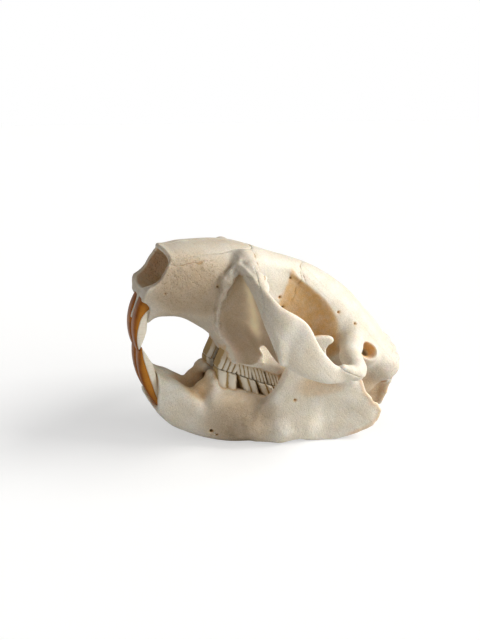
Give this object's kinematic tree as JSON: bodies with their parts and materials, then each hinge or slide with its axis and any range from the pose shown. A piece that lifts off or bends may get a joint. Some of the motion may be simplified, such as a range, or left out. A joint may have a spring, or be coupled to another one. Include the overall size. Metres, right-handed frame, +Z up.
{
  "type": "beaver skull",
  "caption": "Cleaned beaver skull with its lower jaw closed, orange front teeth, ribbed cheek teeth and wide cheek arches, resting on its jaw.",
  "frame": {"origin": "middle of the bounding box, at the height of the floor that the jaw rests on", "axes": "+Z up, the nose points to -Y, the animal's left side is +X"},
  "size_m": [0.0992, 0.1306, 0.0919],
  "materials": {
    "bone": "dry cleaned bone, satin to matt, fine pores",
    "tooth_enamel": "glossy orange-brown enamel in front, cream dentine behind"
  },
  "bodies": {
    "root": {"cranium": "bone", "nasal_left": "bone", "nasal_right": "bone", "jugal_left": "bone", "jugal_right": "bone", "mandible_left": "bone", "mandible_right": "bone", "upper_incisor_left": "tooth_enamel", "upper_incisor_right": "tooth_enamel", "lower_incisor_left": "tooth_enamel", "lower_incisor_right": "tooth_enamel"}
  },
  "joints": []
}
